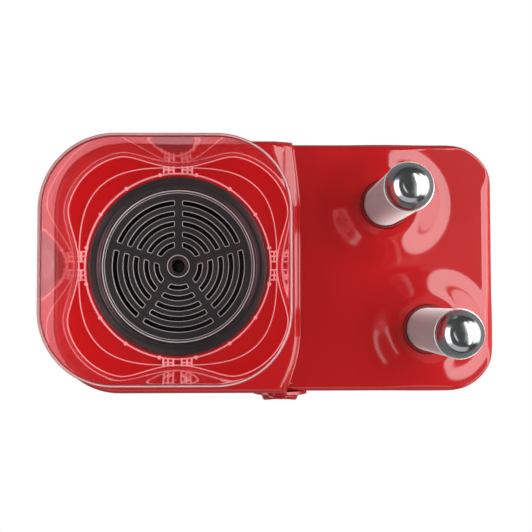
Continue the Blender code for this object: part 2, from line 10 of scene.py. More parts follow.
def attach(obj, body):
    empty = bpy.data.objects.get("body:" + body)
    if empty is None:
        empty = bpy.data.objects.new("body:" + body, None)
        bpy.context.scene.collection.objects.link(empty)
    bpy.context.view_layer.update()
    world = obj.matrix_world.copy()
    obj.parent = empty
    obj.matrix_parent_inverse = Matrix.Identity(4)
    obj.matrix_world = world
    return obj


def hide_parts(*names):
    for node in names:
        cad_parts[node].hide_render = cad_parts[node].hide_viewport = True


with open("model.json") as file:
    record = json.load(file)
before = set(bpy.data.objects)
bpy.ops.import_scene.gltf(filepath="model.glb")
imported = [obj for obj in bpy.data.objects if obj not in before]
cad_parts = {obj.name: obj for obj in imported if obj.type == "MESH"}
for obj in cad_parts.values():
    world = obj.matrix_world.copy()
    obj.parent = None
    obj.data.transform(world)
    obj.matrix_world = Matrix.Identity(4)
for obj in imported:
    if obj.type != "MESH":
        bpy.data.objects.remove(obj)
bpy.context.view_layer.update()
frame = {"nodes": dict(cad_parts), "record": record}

MM = 0.001
Y_OFF = 1.25
NODES = frame["nodes"]

# the design's own dimensions, in mm
HALF_X, HALF_Y, R_RIGHT, R_LEFT, WALL = 177.2, 100.0, 39.0, 54.0, 2.6
Z_RIM, Z_PLATFORM, Z_PEDESTAL, R_EDGE = 5.0, 58.0, 75.0, 6.0
STEP_X, STEP_CONVEX, STEP_FILLET, STEP_WALL = 17.9, 4.0, 1.6, 0.8
PAN_X, PAN_HOLE_R = -76.8, 62.5
PLATE_R, PLATE_T, PLATE_Z = 60.2, 2.2, 72.7
SLOT_ROWS, SLOT_W, SPOKE_W, HUB_R, HUB_HOLE_R = (49.9, 41.5, 33.5, 25.2, 17.0), 3.6, 6.6, 9.1, 5.2
CONT_BASE, CONT_RIM, CONT_R, CONT_Z0, CONT_Z1, CONT_T, FLUTE = 91.0, 85.1, 55.0, 75.4, 181.7, 2.3, 9.5
SPIKES = {"rear": (87.9, 50.0), "front": (121.4, -50.0)}
SPIKE_R, SPIKE_T, SPIKE_Z0, SPIKE_Z1 = 17.0, 1.2, 47.7, 173.6
BOSS_H, BOSS_RI, BOSS_RO, COLLAR_HOLE_R = 8.4, 26.0, 57.0, 20.0
KNOB_X, KNOB_Z, KNOB_R0, KNOB_R1, BEZEL_R = 4.0, 38.0, 15.0, 13.6, 22.0
GLAND_X, GLAND_Z = 62.0, 22.0


# ================================================================ camera
def camera():
    cd = bpy.data.cameras.new("cam")
    cd.lens = 882.0 / 532.0 * 36.0
    cd.sensor_width = 36.0
    cd.clip_start, cd.clip_end = 0.01, 20.0
    cam = bpy.data.objects.new("cam", cd)
    bpy.context.scene.collection.objects.link(cam)
    cam.location = (-20.0 * MM, (-28.5 + Y_OFF) * MM, 769.0 * MM)
    cam.rotation_euler = (0.0412, -0.0174, -0.0013)
    bpy.context.scene.camera = cam


camera()


# ================================================================ mesh helpers
def obj_from(name, verts, faces, mats, body, replaces=(), sharp=30.0, smooth=True, recalc=True, midx=None):
    bm = bmesh.new()
    vs = [bm.verts.new((x * MM, (y + Y_OFF) * MM, z * MM)) for x, y, z in verts]
    for i, f in enumerate(faces):
        if len(set(f)) >= 3:
            fc = bm.faces.new([vs[k] for k in f])
            if midx is not None:
                fc.material_index = midx[i]
    if recalc:
        bmesh.ops.recalc_face_normals(bm, faces=bm.faces)
    me = bpy.data.meshes.new(name)
    bm.to_mesh(me)
    bm.free()
    ob = bpy.data.objects.new(name, me)
    bpy.context.scene.collection.objects.link(ob)
    for m in mats if isinstance(mats, (list, tuple)) else [mats]:
        me.materials.append(m)
    if smooth:
        me.shade_smooth()
        me.set_sharp_from_angle(angle=math.radians(sharp))
    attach(ob, body)
    for n in replaces:
        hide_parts(n)
    return ob


def lathe(profile, n, centre=(0, 0, 0), closed=False, axis="Z"):
    verts, faces, rows = [], [], []
    for r, z in profile:
        if r < 1e-6:
            rows.append([len(verts)] * n)
            verts.append((0.0, 0.0, z))
        else:
            rows.append(list(range(len(verts), len(verts) + n)))
            for i in range(n):
                a = 2 * math.pi * i / n
                verts.append((r * math.cos(a), r * math.sin(a), z))
    m = len(rows)
    for j in range(m if closed else m - 1):
        a, b = rows[j], rows[(j + 1) % m]
        for i in range(n):
            k = (i + 1) % n
            f = []
            for v in (a[i], a[k], b[k], b[i]):
                if v not in f:
                    f.append(v)
            if len(f) > 2:
                faces.append(f)
    cx, cy, cz = centre
    if axis == "Y":
        verts = [(cx + x, cy - z, cz + y) for x, y, z in verts]
    else:
        verts = [(cx + x, cy + y, cz + z) for x, y, z in verts]
    return verts, faces


def rounded(profile, radius, seg=4, closed=True):
    """The profile with each corner turned into a small arc; a point may carry its own radius."""
    out = []
    m = len(profile)
    for i, p in enumerate(profile):
        r = p[2] if len(p) > 2 else radius
        if not closed and i in (0, m - 1):
            out.append((p[0], p[1]))
            continue
        a, b, c = Vector(profile[i - 1][:2]), Vector(p[:2]), Vector(profile[(i + 1) % m][:2])
        u, v = a - b, c - b
        lu, lv = u.length, v.length
        if lu < 1e-6 or lv < 1e-6 or r <= 0:
            out.append((b.x, b.y))
            continue
        u /= lu
        v /= lv
        ang = u.angle(v)
        if ang > math.radians(172):
            out.append((b.x, b.y))
            continue
        d = min(r / math.tan(ang / 2), lu * 0.45, lv * 0.45)
        p0, p1 = b + u * d, b + v * d
        for k in range(seg + 1):
            t = k / seg
            q = p0 * (1 - t) ** 2 + b * 2 * t * (1 - t) + p1 * t * t
            out.append((q.x, q.y))
    return out


def circle(cx, cy, r, n, phase=0.0):
    return [(cx + r * math.cos(2 * math.pi * i / n + phase), cy + r * math.sin(2 * math.pi * i / n + phase)) for i in range(n)]


def inside(p, loop):
    x, y, c = p[0], p[1], False
    for i in range(len(loop)):
        x1, y1 = loop[i][0], loop[i][1]
        x2, y2 = loop[i - 1][0], loop[i - 1][1]
        if (y1 > y) != (y2 > y) and x < (x2 - x1) * (y - y1) / (y2 - y1) + x1:
            c = not c
    return c


def prism(loops, z0, z1):
    pts, edges = [], []
    for lp in loops:
        s = len(pts)
        pts += [Vector((x, y)) for x, y in lp]
        edges += [(s + i, s + (i + 1) % len(lp)) for i in range(len(lp))]
    out = delaunay_2d_cdt(pts, edges, [], 0, 1e-5)
    vc, tris = out[0], out[2]
    keep = []
    for t in tris:
        c = sum((vc[i] for i in t), Vector((0, 0))) / len(t)
        if inside(c, loops[0]) and not any(inside(c, h) for h in loops[1:]):
            keep.append(tuple(t))
    n = len(vc)
    verts = [(v.x, v.y, z0) for v in vc] + [(v.x, v.y, z1) for v in vc]
    faces = [tuple(reversed(t)) for t in keep] + [tuple(i + n for i in t) for t in keep]
    count = {}
    for t in keep:
        for i in range(len(t)):
            e = (t[i], t[(i + 1) % len(t)])
            count.setdefault(frozenset(e), []).append(e)
    for es in count.values():
        if len(es) == 1:
            a, b = es[0]
            faces.append((a, b, b + n, a + n))
    return verts, faces


def join(*parts):
    verts, faces = [], []
    for v, f in parts:
        s = len(verts)
        verts += v
        faces += [tuple(i + s for i in t) for t in f]
    return verts, faces


def sweep(path, section, closed=True, up=Vector((0, 0, 1))):
    """A section, as (sideways, up) points, carried along a path."""
    verts, faces = [], []
    m, n = len(path), len(section)
    for i in range(m):
        a = Vector(path[i - 1] if (i or closed) else path[0])
        b = Vector(path[(i + 1) % m] if (i < m - 1 or closed) else path[-1])
        d = (b - a).normalized()
        side = d.cross(up).normalized()
        for s, h in section:
            verts.append(tuple(Vector(path[i]) + side * s + up * h))
    for i in range(m if closed else m - 1):
        for k in range(n):
            a, b = i * n + k, i * n + (k + 1) % n
            c, d2 = ((i + 1) % m) * n + (k + 1) % n, ((i + 1) % m) * n + k
            faces.append((a, b, c, d2))
    if not closed:
        faces.append(tuple(range(n)))
        faces.append(tuple(range((m - 1) * n, m * n)))
    return verts, faces


def block(cx, cy, ang, r0, r1, hw, z0, z1, taper=0.0):
    """A small rib: radial from r0 to r1, half width hw, about (cx, cy), turned by ang degrees."""
    ca, sa = math.cos(math.radians(ang)), math.sin(math.radians(ang))
    v = []
    for z, tp in ((z0, 0.0), (z1, taper)):
        for x, y in ((r0 + tp, -hw), (r1 - tp, -hw), (r1 - tp, hw), (r0 + tp, hw)):
            v.append((x, y, z))
    f = [(3, 2, 1, 0), (4, 5, 6, 7), (0, 1, 5, 4), (1, 2, 6, 5), (2, 3, 7, 6), (3, 0, 4, 7)]
    return v, f, ca, sa, cx, cy


def bevel(ob, width, segments=2, angle=35.0, material=-1):
    m = ob.modifiers.new("bevel", "BEVEL")
    m.width = width * MM
    m.segments = segments
    m.limit_method = "ANGLE"
    m.angle_limit = math.radians(angle)
    m.material = material
    m.harden_normals = False
    return m


# ================================================================ materials
def nodes_of(name):
    m = bpy.data.materials.new(name)
    m.use_nodes = True
    nt = m.node_tree
    return m, nt, nt.nodes["Principled BSDF"]


def link(nt, a, b):
    nt.links.new(a, b)


def noise(nt, scale, detail=2.0, rough=0.5, coords=None, stretch=None):
    t = nt.nodes.new("ShaderNodeTexNoise")
    t.inputs["Scale"].default_value = scale
    t.inputs["Detail"].default_value = detail
    t.inputs["Roughness"].default_value = rough
    c = coords or nt.nodes.new("ShaderNodeTexCoord").outputs["Object"]
    if stretch:
        mp = nt.nodes.new("ShaderNodeMapping")
        mp.inputs["Scale"].default_value = stretch
        link(nt, c, mp.inputs["Vector"])
        c = mp.outputs["Vector"]
    link(nt, c, t.inputs["Vector"])
    return t.outputs["Fac"]


def remap(nt, fac, a, b, lo=0.0, hi=1.0):
    r = nt.nodes.new("ShaderNodeMapRange")
    r.inputs["From Min"].default_value = lo
    r.inputs["From Max"].default_value = hi
    r.inputs["To Min"].default_value = a
    r.inputs["To Max"].default_value = b
    link(nt, fac, r.inputs["Value"])
    return r.outputs["Result"]


def mixc(nt, fac, a, b):
    r = nt.nodes.new("ShaderNodeMix")
    r.data_type = "RGBA"
    for i, c in ((6, a), (7, b)):
        if isinstance(c, tuple):
            r.inputs[i].default_value = (*c, 1.0)
        else:
            link(nt, c, r.inputs[i])
    if isinstance(fac, float):
        r.inputs[0].default_value = fac
    else:
        link(nt, fac, r.inputs[0])
    return r.outputs[2]


def bump(nt, p, height, strength, distance=0.0002, normal=None):
    b = nt.nodes.new("ShaderNodeBump")
    b.inputs["Strength"].default_value = strength
    b.inputs["Distance"].default_value = distance
    link(nt, height, b.inputs["Height"])
    if normal is not None:
        link(nt, normal, b.inputs["Normal"])
    link(nt, b.outputs["Normal"], p.inputs["Normal"])
    return b.outputs["Normal"]


def red_plastic(name="red_gloss", base=(0.425, 0.0072, 0.0090), deep=(0.39, 0.0062, 0.0078)):
    m, nt, p = nodes_of(name)
    big = noise(nt, 9.0, 2.0)
    link(nt, mixc(nt, remap(nt, big, 0, 1, 0.35, 0.65), deep, base), p.inputs["Base Color"])
    fine = noise(nt, 700.0, 3.0)
    haze = noise(nt, 30.0, 4.0, 0.6)
    s = nt.nodes.new("ShaderNodeMath")
    s.operation = "ADD"
    link(nt, remap(nt, fine, 0.0, 0.035), s.inputs[0])
    link(nt, remap(nt, haze, 0.055, 0.105, 0.3, 0.7), s.inputs[1])
    link(nt, s.outputs[0], p.inputs["Roughness"])
    peel = noise(nt, 120.0, 1.0)
    bump(nt, p, peel, 0.018, 0.0003)
    p.inputs["IOR"].default_value = 1.6
    return m


def moulded(name, dark, light, rough=(0.4, 0.55), grain=900.0, strength=0.12, distance=0.0001, spec=0.5):
    m, nt, p = nodes_of(name)
    g = noise(nt, grain, 3.0)
    b = noise(nt, 18.0, 3.0)
    link(nt, mixc(nt, remap(nt, b, 0, 1, 0.3, 0.7), dark, light), p.inputs["Base Color"])
    link(nt, remap(nt, b, rough[0], rough[1], 0.3, 0.7), p.inputs["Roughness"])
    bump(nt, p, g, strength, distance)
    p.inputs["Specular IOR Level"].default_value = spec
    return m


def metal(name, tint, rough=(0.2, 0.32), stretch=(1, 1, 1), scale=300.0, strength=0.05, aniso=0.0, metallic=1.0, sheen=0.0):
    m, nt, p = nodes_of(name)
    g = noise(nt, scale, 4.0, 0.6, stretch=stretch)
    link(nt, mixc(nt, remap(nt, g, 0, 1, 0.3, 0.7), tuple(c * 0.9 for c in tint), tint), p.inputs["Base Color"])
    link(nt, remap(nt, g, rough[0], rough[1], 0.3, 0.7), p.inputs["Roughness"])
    bump(nt, p, g, strength, 0.00005)
    p.inputs["Metallic"].default_value = metallic
    p.inputs["Anisotropic"].default_value = aniso
    p.inputs["Sheen Weight"].default_value = sheen
    p.inputs["Sheen Roughness"].default_value = 0.35
    p.inputs["Sheen Tint"].default_value = (0.94, 1.0, 1.0, 1.0)
    return m


def clear_plastic(name="clear_plastic", tint=(0.92, 0.31, 0.33), ior=1.42, haze=0.055, glow=(0.80, 0.09, 0.11)):
    """Clear moulded plastic that lets lamps through to what it covers; with a haze above 0.2 its diffuse part takes the
    glow colour, a painted highlight.
    """
    m, nt, p = nodes_of(name)
    flow = noise(nt, 26.0, 2.0)
    link(nt, mixc(nt, remap(nt, flow, 0, 1, 0.3, 0.7), tint, tuple(min(1.0, c + 0.012) for c in tint)), p.inputs["Base Color"])
    scuff = noise(nt, 350.0, 4.0, 0.65)
    link(nt, remap(nt, scuff, 0.004, 0.035, 0.55, 0.85), p.inputs["Roughness"])
    bump(nt, p, flow, 0.10, 0.0006)
    p.inputs["Transmission Weight"].default_value = 1.0 - haze
    # a haze above 0.2 swaps the tint for the pale glow colour: painted highlight on ribs, beads, clips and wall edges
    if haze > 0.2:
        link(nt, mixc(nt, remap(nt, flow, 0, 1, 0.3, 0.7), glow, tuple(c * 0.86 for c in glow)), p.inputs["Base Color"])
    p.inputs["IOR"].default_value = ior
    out = nt.nodes["Material Output"]
    mix = nt.nodes.new("ShaderNodeMixShader")
    tr = nt.nodes.new("ShaderNodeBsdfTransparent")
    tr.inputs["Color"].default_value = (0.93, 0.92, 0.92, 1)
    lp = nt.nodes.new("ShaderNodeLightPath")
    link(nt, lp.outputs["Is Shadow Ray"], mix.inputs[0])
    link(nt, p.outputs["BSDF"], mix.inputs[1])
    link(nt, tr.outputs["BSDF"], mix.inputs[2])
    link(nt, mix.outputs[0], out.inputs["Surface"])
    return m


RED = red_plastic()
BLACK = moulded("black_moulded", (0.010, 0.010, 0.011), (0.016, 0.016, 0.017))
PAN = moulded("pan_black", (0.0095, 0.0125, 0.013), (0.015, 0.0195, 0.020), (0.17, 0.27), 1400.0, 0.05, 0.00006, 0.75)
PLATE = moulded("plate_charcoal", (0.0075, 0.0105, 0.011), (0.011, 0.0155, 0.016), (0.34, 0.46), 1100.0, 0.2, 0.0001, 0.45)
# pale grey for the slot edges and plate beads: a painted highlight standing in for the light their rounded edges catch
PLATE_EDGE_HIGHLIGHT = moulded("plate_edge_painted_highlight", (0.36, 0.43, 0.44), (0.48, 0.57, 0.58), (0.25, 0.4), 1500.0, 0.08, 0.00005)
CLEAR = clear_plastic()
CLEAR_TRAY = clear_plastic("clear_floor", (0.97, 0.50, 0.52), 1.34, 0.004)
# haze 0.45 with a pale pink colour: a painted highlight for the bright lines along the clear edges, ribs, beads, clips
# and latches
CLEAR_EDGE_HIGHLIGHT = clear_plastic("clear_edge_painted_highlight", haze=0.45, glow=(0.98, 0.58, 0.60))
# blue-green base: a painted offset against the red light bounced onto the spike sides, not the steel's own colour
SATIN = metal("spike_satin_bounce_offset", (0.29, 0.355, 0.358), (0.30, 0.40), (1, 1, 0.02), 500.0, 0.12, 0.0, 0.30, 1.0)
# near-white bead: a painted highlight for the bright ring at the top of each spike
BEAD_HIGHLIGHT = metal("spike_bead_painted_highlight", (0.92, 0.92, 0.92), (0.25, 0.35), (1, 1, 1), 400.0, 0.05, 0.0, 0.35)
CHROME = metal("spike_polish", (0.42, 0.43, 0.435), (0.15, 0.21), (1, 1, 1), 120.0, 0.02, 0.8)
STEEL = metal("inner_steel", (0.55, 0.55, 0.56), (0.25, 0.4), (1, 1, 1), 260.0, 0.1)
COLLAR = moulded("collar_dark", (0.20, 0.005, 0.006), (0.26, 0.006, 0.007), (0.25, 0.35), 1200.0, 0.05)
RUBBER = moulded("rubber_matt", (0.012, 0.012, 0.013), (0.020, 0.020, 0.021), (0.75, 0.9), 1600.0, 0.35, 0.0001)
CERAMIC = moulded("ceramic", (0.60, 0.58, 0.50), (0.70, 0.68, 0.60), (0.45, 0.6), 700.0, 0.1)
COPPER = moulded("wire_sleeve", (0.20, 0.03, 0.02), (0.30, 0.06, 0.04), (0.4, 0.55), 900.0, 0.08)
GASKET = moulded("gasket_grey", (0.05, 0.05, 0.05), (0.08, 0.08, 0.08), (0.6, 0.75), 900.0, 0.1)
SLOT_MAT = {"red_plastic": RED, "black_plastic": BLACK, "pan_black": PAN, "plate_black": PLATE, "clear_plastic": CLEAR,
            "spike_steel": SATIN, "inner_steel": STEEL, "collar_dark": COLLAR, "rubber": RUBBER, "ceramic": CERAMIC,
            "wire": COPPER, "gasket": GASKET}
for sp in frame["record"]["subparts"]:
    ob = NODES[sp["node"]]
    ob.data.materials.clear()
    ob.data.materials.append(SLOT_MAT[sp["material_slot"]])


# ================================================================ base housing
def smooth(t):
    t = min(1.0, max(0.0, t))
    return t * t * (3 - 2 * t)


def step_edge(y):
    if y > 0:
        s = max(0.0, y - 47.0) / 38.0
        return STEP_X - 3.4 * s * s / (0.4 + 0.6 * s) if s > 0 else STEP_X
    s = max(0.0, abs(y) - 50.0) / 50.0
    return STEP_X - 12.0 * s * s


def step_spread(y):
    if y > 0:
        s = min(1.15, max(0.0, y - 47.0) / 38.0)
        a = STEP_CONVEX + 9.6 * s
        return a, STEP_CONVEX + 2.4 * s
    s = max(0.0, abs(y) - 50.0) / 50.0
    return STEP_CONVEX + 5.0 * s * s, STEP_CONVEX + 3.0 * s * s


def step_drop(t, y):
    """Fall of the pedestal's edge at t = 0..1 of its width: rounded, turning into a flat facet towards the rear."""
    arc = 1 - math.sqrt(max(0.0, 1 - t * t))
    w = smooth((y - 47.0) / 14.0)
    return arc + w * (0.74 * t + 0.26 * arc - arc)


NT, NF = 12, 9
STEP_T = [math.sin(math.pi / 2 * i / NT) for i in range(NT + 1)]
STEP_F = [1 - math.cos(math.pi / 2 * i / NF) for i in range(NF + 1)]
N_STEP = NT + 1 + NF + 1


def step_x(j, y):
    a, _ = step_spread(y)
    e = step_edge(y)
    if j <= NT:
        return e - a + a * STEP_T[j]
    return e + STEP_WALL + STEP_FILLET * STEP_F[j - NT - 1]


def boss(x, y):
    h = 0.0
    for cx, cy in SPIKES.values():
        r = math.hypot(x - cx, y - cy)
        if r < BOSS_RI:
            h += BOSS_H
        elif r < BOSS_RO:
            h += BOSS_H * 0.5 * (1 + math.cos(math.pi * ((r - BOSS_RI) / (BOSS_RO - BOSS_RI)) ** 0.75))
    return h


def top_z(x, y):
    a, b = step_spread(y)
    e = step_edge(y)
    if x <= e - a:
        z = Z_PEDESTAL
    elif x <= e:
        t = (x - (e - a)) / a
        z = Z_PEDESTAL - b * step_drop(t, y)
    elif x < e + STEP_WALL:
        z0, z1 = Z_PEDESTAL - b, Z_PLATFORM + STEP_FILLET
        z = z0 + (z1 - z0) * (x - e) / STEP_WALL
    elif x < e + STEP_WALL + STEP_FILLET:
        t = 1 - (x - e - STEP_WALL) / STEP_FILLET
        z = Z_PLATFORM + STEP_FILLET * (1 - math.sqrt(max(0.0, 1 - t * t)))
    else:
        z = Z_PLATFORM
    return z + boss(x, y)


def top_normal(x, y, d=0.04):
    gx = (top_z(x + d, y) - top_z(x - d, y)) / (2 * d)
    gy = (top_z(x, y + d) - top_z(x, y - d)) / (2 * d)
    return Vector((-gx, -gy, 1.0)).normalized()


def perimeter(corner=28):
    pts = []
    hx, hy, r, l = HALF_X, HALF_Y, R_RIGHT, R_LEFT

    def arc(cx, cy, rad, a0):
        for i in range(corner + 1):
            a = math.radians(a0 + 90.0 * i / corner)
            pts.append((cx + rad * math.cos(a), cy + rad * math.sin(a), math.cos(a), math.sin(a)))

    yb = hy - R_EDGE
    ys = [-61 + 122.0 * i / 40 for i in range(1, 40)]
    for y in ys:
        pts.append((hx, y, 1.0, 0.0))
    xs = [136.0 - 3.0 * i for i in range(36)]
    steps = [step_x(j, yb) for j in range(N_STEP - 1, -1, -1)]
    xs = [x for x in xs if x > steps[0] + 1.5] + steps + [-12.0 - 12.0 * i for i in range(9)]
    arc(hx - r, hy - r, r, 0)
    pts += [(x, hy, 0.0, 1.0) for x in xs]
    arc(-hx + l, hy - l, l, 90)
    pts += [(-hx, y, -1.0, 0.0) for y in (30.0, 10.0, -10.0, -30.0)]
    arc(-hx + l, -hy + l, l, 180)
    pts += [(x, -hy, 0.0, -1.0) for x in reversed(xs)]
    arc(hx - r, -hy + r, r, 270)
    return pts


def edge_radius(nx, ny):
    """Round-over along the rim: broad on the right-hand side, tight at the right corners."""
    az = abs(math.degrees(math.atan2(ny, nx)))
    if az < 30:
        return 10.5 - 8.3 * smooth(az / 30.0)
    if az < 66:
        return 2.2
    if az < 90:
        return 2.2 + 3.8 * smooth((az - 66) / 24.0)
    return R_EDGE


def housing():
    per = perimeter()
    n = len(per)
    rad = [edge_radius(p[2], p[3]) for p in per]
    verts, norms, faces = [], [], []
    # (inset, drop or None, z, tilt of the normal from horizontal in degrees)
    rings = [(1.6, None, Z_RIM, -60.0), (0.5, None, Z_RIM + 0.25, -45.0), (0.0, None, Z_RIM + 1.1, 0.0), (0.0, None, 20.0, 0.0), (0.0, None, 36.0, 0.0)]
    k = 12
    for i in range(k + 1):
        t = math.pi / 2 * i / k
        rings.append((1 - math.cos(t), 1 - math.sin(t), None, math.degrees(t)))
    for inset, drop, z, tilt in rings:
        ct, st = math.cos(math.radians(tilt)), math.sin(math.radians(tilt))
        for (px, py, nx, ny), re in zip(per, rad):
            ins = inset if drop is None else inset * re
            x, y = px - ins * nx, py - ins * ny
            qx, qy = px - re * nx, py - re * ny
            verts.append((x, y, z if drop is None else top_z(qx, qy) - drop * re))
            if drop is None:
                norms.append(Vector((nx * ct, ny * ct, st)))
            else:
                g = top_normal(qx, qy)
                g = g / max(g.z, 0.08)
                norms.append(Vector((nx * ct + g.x * st, ny * ct + g.y * st, st if st > 1e-3 else 0.0)).normalized())
    for j in range(len(rings) - 1):
        for i in range(n):
            a, b = j * n + i, j * n + (i + 1) % n
            faces.append((a, b, b + n, a + n))
    last = (len(rings) - 1) * n
    loop = [(verts[last + i][0], verts[last + i][1]) for i in range(n)]
    pts = [Vector(p) for p in loop]
    edges = [(i, (i + 1) % n) for i in range(n)]

    def add_loop(lp):
        s = len(pts)
        pts.extend(Vector(p) for p in lp)
        m = len(lp)
        edges.extend((s + i, s + (i + 1) % m) for i in range(m))

    holes = [circle(PAN_X, 0, PAN_HOLE_R, 96)]
    for cx, cy in SPIKES.values():
        holes.append(circle(cx, cy, COLLAR_HOLE_R, 96))
    for h in holes:
        add_loop(h)
    guard = [(p[0] - (re + 0.8) * p[2], p[1] - (re + 0.8) * p[3]) for p, re in zip(per, rad)]
    rr = [BOSS_RI - 0.75, BOSS_RI, BOSS_RI + 0.5, BOSS_RI + 1.1] + [BOSS_RI + (BOSS_RO - BOSS_RI) * i / 20 for i in range(1, 21)]
    centres = list(SPIKES.values())
    for s_i, (cx, cy) in enumerate(centres):
        ox, oy = centres[1 - s_i]
        for kk, r in enumerate(rr):
            m = 96 if r < 38 else 120
            for p in circle(cx, cy, r, m, math.pi / m * (kk % 2)):
                if inside(p, guard) and math.hypot(p[0] - ox, p[1] - oy) > math.hypot(p[0] - cx, p[1] - cy) - 0.4:
                    pts.append(Vector(p))
    yb = HALF_Y - R_EDGE
    ys = [-92.6 + 185.2 * i / 92 for i in range(93)]
    for j in range(N_STEP):
        ids = {}
        for i, p in enumerate(loop):
            if abs(p[0] - step_x(j, yb)) < 1e-4 and abs(abs(p[1]) - yb) < 1e-3:
                ids[1 if p[1] > 0 else -1] = i
        s = len(pts)
        pts.extend(Vector((step_x(j, y), y)) for y in ys)
        chain = [ids[-1]] + list(range(s, s + len(ys))) + [ids[1]]
        edges.extend(zip(chain[:-1], chain[1:]))
    # a loose grid keeps the flat parts' triangles even
    x = -160.0
    while x < 170:
        y = -88.0
        while y < 89:
            q = (x, y)
            if inside(q, guard) and math.hypot(x - PAN_X, y) > PAN_HOLE_R + 3 and not (-6 < x < 26) and all(math.hypot(x - c[0], y - c[1]) > BOSS_RO + 2 for c in centres):
                pts.append(Vector(q))
            y += 11.0
        x += 11.0
    out = delaunay_2d_cdt(pts, edges, [], 0, 1e-5)
    vc, tris, src = out[0], out[2], out[3]
    index = {}
    for i in range(len(vc)):
        for o in src[i]:
            if o < n:
                index[i] = last + o
    for i, v in enumerate(vc):
        if i not in index:
            index[i] = len(verts)
            verts.append((v.x, v.y, top_z(v.x, v.y)))
            norms.append(top_normal(v.x, v.y))
    for t in tris:
        c = sum((vc[i] for i in t), Vector((0, 0))) / len(t)
        if inside(c, loop) and not any(inside(c, h) for h in holes):
            faces.append(tuple(index[i] for i in t))
    # inner skin, the same surface set back by the wall
    m = len(verts)
    outer = len(faces)
    edge_count = {}
    for f in faces:
        for i in range(len(f)):
            e = (f[i], f[(i + 1) % len(f)])
            edge_count.setdefault(frozenset(e), []).append(e)
    for i in range(m):
        v, nn = verts[i], norms[i]
        verts.append((v[0] - nn.x * WALL, v[1] - nn.y * WALL, max(v[2] - nn.z * WALL, Z_RIM)))
        norms.append(-nn)
    for i in range(outer):
        faces.append(tuple(q + m for q in reversed(faces[i])))
    rim = []
    for es in edge_count.values():
        if len(es) == 1:
            a, b = es[0]
            faces.append((b, a, a + m, b + m))
            rim.append(len(faces) - 1)
    ob = obj_from("housing_shell", verts, faces, RED, "base", ["base_housing"], recalc=False)
    me = ob.data
    rims = set(rim)
    custom = []
    for pl in me.polygons:
        for vi in pl.vertices:
            custom.append(tuple(pl.normal) if pl.index in rims else tuple(norms[vi]))
    for e in me.edges:
        e.use_edge_sharp = False
    me.normals_split_custom_set(custom)
    return ob


housing()

# ================================================================ boiler pan and plate
PC = (PAN_X, 0, 0)
prof = rounded([
    (55.0, 52.2, 2.2), (57.2, 54.4, 1.0), (57.2, 72.3, 0.4), (60.9, 72.3, 0.3), (60.9, 75.2, 0.8), (61.9, 75.9, 0.5),
    (63.4, 77.7, 0.8), (65.6, 78.0, 1.2), (69.2, 77.2, 1.2), (70.4, 76.5, 0.6), (70.4, 75.4, 0.3), (68.2, 75.4, 0.3), (68.2, 76.5, 0.3), (61.9, 75.9, 0.3),
    (61.9, 70.6, 0.5), (59.2, 70.2, 0.5), (59.2, 51.6, 1.0), (57.4, 50.0, 0.8), (4.0, 50.0, 0.3), (4.0, 43.2, 0.4)], 0.5, 4, closed=False)
v, f = lathe([(0, 52.2)] + prof + [(0, 43.2)], 160, PC)
obj_from("boiler_bowl", v, f, PAN, "base", ["boiler_pan"], sharp=40)


def slot_loop(r, a0, a1, width, seg):
    ro, ri, hw = r + width / 2, r - width / 2, SPOKE_W / 2
    cr = 0.9
    out = []
    for rad, flip in ((ri, False), (ro, True)):
        d = math.asin((hw + 0.0) / rad)
        d2 = math.asin((hw + cr) / rad)
        row = [a0 + d2 + (a1 - a0 - 2 * d2) * i / seg for i in range(seg + 1)]
        pts = [(PAN_X + rad * math.cos(a), rad * math.sin(a)) for a in row]
        # rounded corners at both ends
        rm = rad + (cr if rad < r else -cr)
        dm = math.asin(hw / rm)
        e0 = (PAN_X + rm * math.cos(a0 + dm), rm * math.sin(a0 + dm))
        e1 = (PAN_X + rm * math.cos(a1 - dm), rm * math.sin(a1 - dm))

        def arc3(p, q, c):
            return [tuple(Vector(p) * (1 - t) ** 2 + Vector(c) * 2 * t * (1 - t) + Vector(q) * t * t) for t in (0.33, 0.67)]
        c0 = (PAN_X + rad * math.cos(a0 + d), rad * math.sin(a0 + d))
        c1 = (PAN_X + rad * math.cos(a1 - d), rad * math.sin(a1 - d))
        full = [e0] + arc3(e0, pts[0], c0) + pts + arc3(pts[-1], e1, c1) + [e1]
        out += list(reversed(full)) if flip else full
    return out


loops = [circle(PAN_X, 0, PLATE_R, 144), circle(PAN_X, 0, HUB_HOLE_R, 48)]
for s in range(5):
    a0, a1 = math.radians(90 + 72 * s), math.radians(90 + 72 * (s + 1))
    for k, r in enumerate(SLOT_ROWS):
        loops.append(slot_loop(r, a0, a1, SLOT_W, (22, 19, 16, 12, 9)[k]))
v, f = prism(loops, PLATE_Z, PLATE_Z + PLATE_T)
plate = obj_from("slotted_plate", v, f, [PLATE, PLATE_EDGE_HIGHLIGHT], "steam_plate", ["steam_plate"], sharp=30)
# the bevel faces round every slot take the painted-highlight material (index 1)
bevel(plate, 0.42, 2, 40, 1)
# raised hub ring, outer bead and a bead inside it, one turned piece each; the beads carry the pale painted-highlight
# colour
zt = PLATE_Z + PLATE_T


def turned(name, profile, n, centre, mat, body, replaces=(), rad=0.3, closed=True, axis="Z", sharp=35, seg=3):
    v, f = lathe(rounded(profile, rad, seg, closed), n, centre, closed, axis)
    return obj_from(name, v, f, mat, body, replaces, sharp)


